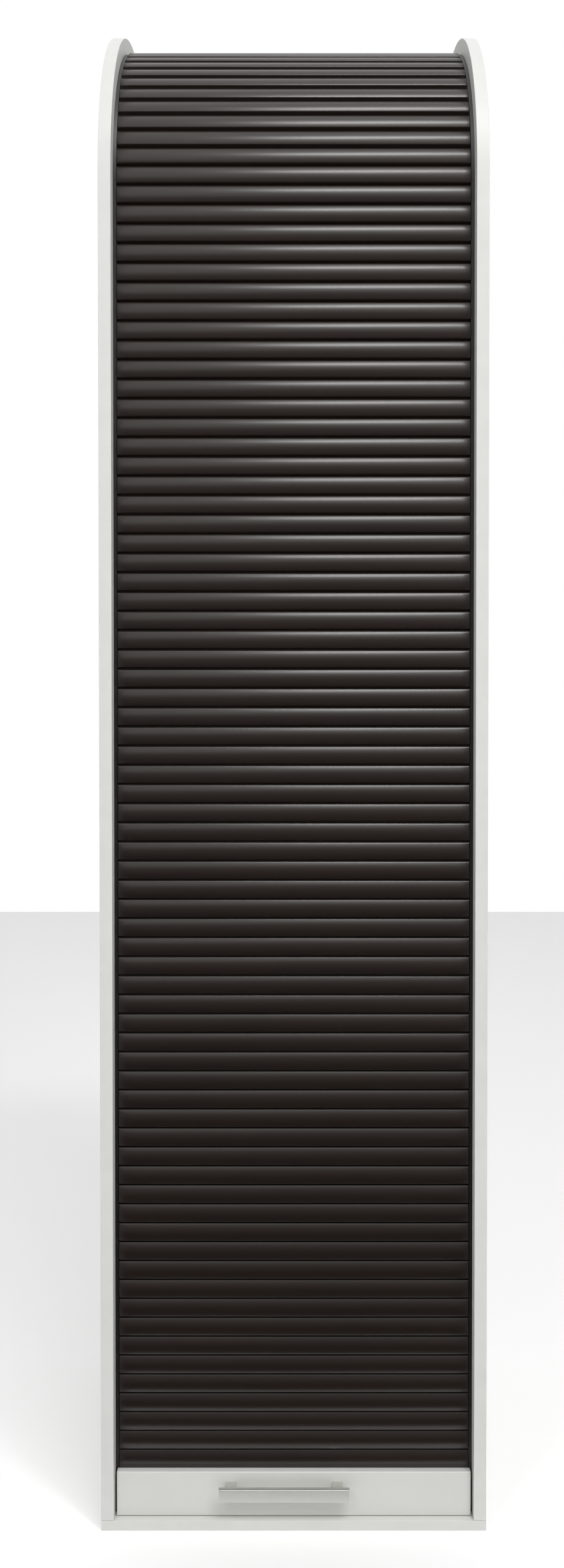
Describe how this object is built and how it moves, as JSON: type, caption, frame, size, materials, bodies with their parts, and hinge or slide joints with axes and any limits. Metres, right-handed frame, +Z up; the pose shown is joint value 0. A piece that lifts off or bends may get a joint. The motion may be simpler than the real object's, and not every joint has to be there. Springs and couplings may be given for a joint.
{
  "type": "tambour door cabinet",
  "caption": "Tall narrow storage cabinet with a rounded top, closed by a vertical tambour curtain with a lead rail and bar handle, four shelves inside.",
  "frame": {"origin": "on the floor, under the middle of the overall outline with its handle", "axes": "+X to the cabinet's right seen from the front, -Y the front, +Z up"},
  "size_m": [0.46, 0.449, 1.88],
  "materials": {
    "melamine_board": "light grey melamine, satin",
    "hardboard": "painted hardboard, matt",
    "slat_plastic": "dark brown extruded plastic, satin",
    "track_plastic": "black plastic, satin",
    "glide_plastic": "dark grey plastic, matt",
    "handle_metal": "satin anodised",
    "steel_pin": "zinc plated"
  },
  "bodies": {
    "root": {"side_panel_left": "melamine_board", "side_panel_right": "melamine_board", "base_board": "melamine_board", "top_cover": "melamine_board", "inner_top_board": "melamine_board", "channel_foot_rail": "melamine_board", "fixed_shelf": "melamine_board", "loose_shelf_1": "melamine_board", "loose_shelf_2": "melamine_board", "loose_shelf_3": "melamine_board", "false_back": "hardboard", "rear_panel": "hardboard", "shelf_pin_1_left_front": "steel_pin", "shelf_pin_1_left_rear": "steel_pin", "shelf_pin_1_right_front": "steel_pin", "shelf_pin_1_right_rear": "steel_pin", "shelf_pin_2_left_front": "steel_pin", "shelf_pin_2_left_rear": "steel_pin", "shelf_pin_2_right_front": "steel_pin", "shelf_pin_2_right_rear": "steel_pin", "shelf_pin_3_left_front": "steel_pin", "shelf_pin_3_left_rear": "steel_pin", "shelf_pin_3_right_front": "steel_pin", "shelf_pin_3_right_rear": "steel_pin", "front_track_left": "track_plastic", "front_track_right": "track_plastic", "top_track_left": "track_plastic", "top_track_right": "track_plastic", "rear_track_left": "track_plastic", "rear_track_right": "track_plastic", "tambour_front_run": "slat_plastic", "crown_slat_1": "slat_plastic", "crown_slat_2": "slat_plastic", "crown_slat_3": "slat_plastic", "crown_slat_4": "slat_plastic", "crown_slat_5": "slat_plastic", "crown_slat_6": "slat_plastic", "crown_slat_7": "slat_plastic", "crown_slat_8": "slat_plastic", "crown_slat_9": "slat_plastic", "crown_slat_10": "slat_plastic", "crown_slat_11": "slat_plastic", "crown_slat_12": "slat_plastic", "crown_slat_13": "slat_plastic", "crown_slat_14": "slat_plastic", "crown_slat_15": "slat_plastic", "crown_slat_16": "slat_plastic", "crown_slat_17": "slat_plastic", "tambour_top_run": "slat_plastic"},
    "door_lead": {"lead_rail": "melamine_board", "rail_glide_left": "glide_plastic", "rail_glide_right": "glide_plastic", "handle": "handle_metal", "handle_screw_left": "steel_pin", "handle_screw_right": "steel_pin"},
    "curtain_tail": {"tambour_tail": "slat_plastic"}
  },
  "joints": [
    {"name": "door_lift", "type": "slide", "parent": "root", "child": "door_lead", "axis": [0, 0, 1], "range_m": [0, 1.53], "deforming": ["tambour_front_run"]},
    {"name": "tail_drop", "type": "slide", "parent": "root", "child": "curtain_tail", "axis": [0, 0, -1], "range_m": [0, 1.53]}
  ],
  "couplings": [
    {"joint": "tail_drop", "follows": "door_lift", "ratio": 1}
  ]
}
